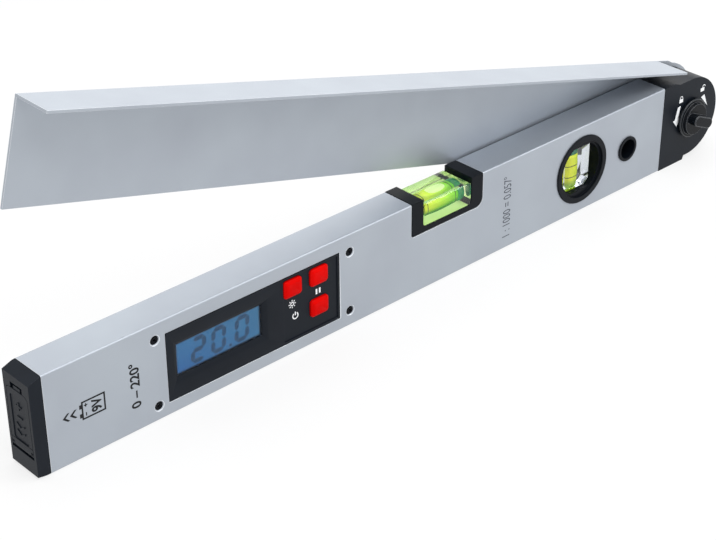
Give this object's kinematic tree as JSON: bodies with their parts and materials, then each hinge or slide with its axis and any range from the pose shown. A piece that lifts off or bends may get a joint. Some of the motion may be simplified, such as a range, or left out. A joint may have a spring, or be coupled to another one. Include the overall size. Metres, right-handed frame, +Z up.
{
  "type": "electronic angle finder with arms",
  "caption": "Digital angle finder: an aluminium tube with a display, push buttons and vials, and an L-section arm folding about a lockable hinge.",
  "frame": {"origin": "centre of the body tube's bottom face", "axes": "+X along the body from the battery end to the hinge, -Y out of the front face with the display, +Z up across the body from the bottom face to the top face"},
  "size_m": [0.5515, 0.0397, 0.1983],
  "materials": {
    "satin_aluminium": "satin anodised extrusion",
    "black_plastic": "fine-textured black moulding",
    "red_button": "satin red moulding",
    "display_glass": "blue-grey liquid crystal glass",
    "clear_pane": "clear polished plastic",
    "clear_acrylic": "clear polished acrylic",
    "lime_acrylic": "lime tinted polished acrylic",
    "vial_liquid": "clear capsule with yellow-green liquid",
    "black_screw": "black oxide steel",
    "bare_steel": "bare steel",
    "brass": "turned brass",
    "board_laminate": "green solder mask",
    "connector_rubber": "striped contact rubber",
    "red_lead": "smooth insulation",
    "black_lead": "smooth insulation",
    "friction_fibre": "pressed fibre",
    "battery_jacket": "plain jacket"
  },
  "bodies": {
    "body": {"body_tube": "satin_aluminium", "end_cap": "black_plastic", "end_cap_screw_1": "black_screw", "end_cap_screw_2": "black_screw", "door_hinge_pin": "bare_steel", "battery": "battery_jacket", "battery_cradle": "black_plastic", "battery_contacts": "black_plastic", "battery_lead_positive": "red_lead", "battery_lead_negative": "black_lead", "display_bezel": "black_plastic", "display_window": "clear_pane", "lcd_panel": "display_glass", "light_guide": "clear_pane", "lcd_connector_strip": "connector_rubber", "circuit_board": "board_laminate", "controller_chip": "black_plastic", "tact_switch_light": "black_plastic", "tact_switch_hold": "black_plastic", "tact_switch_power": "black_plastic", "bezel_screw_1": "black_screw", "bezel_screw_2": "black_screw", "bezel_screw_3": "black_screw", "bezel_screw_4": "black_screw", "horizontal_vial_frame": "black_plastic", "horizontal_vial_block": "lime_acrylic", "horizontal_vial_capsule": "vial_liquid", "vertical_vial_ring_front": "black_plastic", "vertical_vial_ring_rear": "black_plastic", "vertical_vial_block": "clear_acrylic", "vertical_vial_capsule": "vial_liquid", "hanging_grommet_front": "black_plastic", "hanging_grommet_rear": "black_plastic", "head_housing": "black_plastic", "head_screw_1": "black_screw", "head_screw_2": "black_screw", "sensor_board": "board_laminate", "sensor_board_screw_1": "bare_steel", "sensor_board_screw_2": "bare_steel", "sensor_cable": "black_lead", "friction_ring": "friction_fibre", "thrust_washer": "bare_steel"},
    "arm": {"arm_profile": "satin_aluminium", "arm_hub": "black_plastic", "hub_screw_1": "black_screw", "hub_screw_2": "black_screw", "hub_screw_3": "black_screw", "encoder_disc": "board_laminate", "clamp_bolt": "black_screw"},
    "knob": {"lock_knob": "black_plastic", "knob_insert": "brass"},
    "door": {"battery_door": "black_plastic"},
    "light_button": {"button_light": "red_button"},
    "hold_button": {"button_hold": "red_button"},
    "power_button": {"button_power": "red_button"}
  },
  "joints": [
    {"name": "arm_fold", "type": "hinge", "parent": "body", "child": "arm", "pos_m": [0.2715, 0, 0.0303], "axis": [0, 1, 0], "range_deg": [-15.3, 204.7]},
    {"name": "knob_turn", "type": "hinge", "parent": "body", "child": "knob", "pos_m": [0.2715, 0, 0.0303], "axis": [0, -1, 0], "range_deg": [0, 120]},
    {"name": "door_open", "type": "hinge", "parent": "body", "child": "door", "pos_m": [-0.2483, 0, 0.0134], "axis": [0, -1, 0], "range_deg": [0, 95]},
    {"name": "press_light", "type": "slide", "parent": "body", "child": "light_button", "axis": [0, 1, 0], "range_m": [0, 0.0006], "stiffness_N_per_m": 600},
    {"name": "press_hold", "type": "slide", "parent": "body", "child": "hold_button", "axis": [0, 1, 0], "range_m": [0, 0.0006], "stiffness_N_per_m": 600},
    {"name": "press_power", "type": "slide", "parent": "body", "child": "power_button", "axis": [0, 1, 0], "range_m": [0, 0.0006], "stiffness_N_per_m": 600}
  ]
}
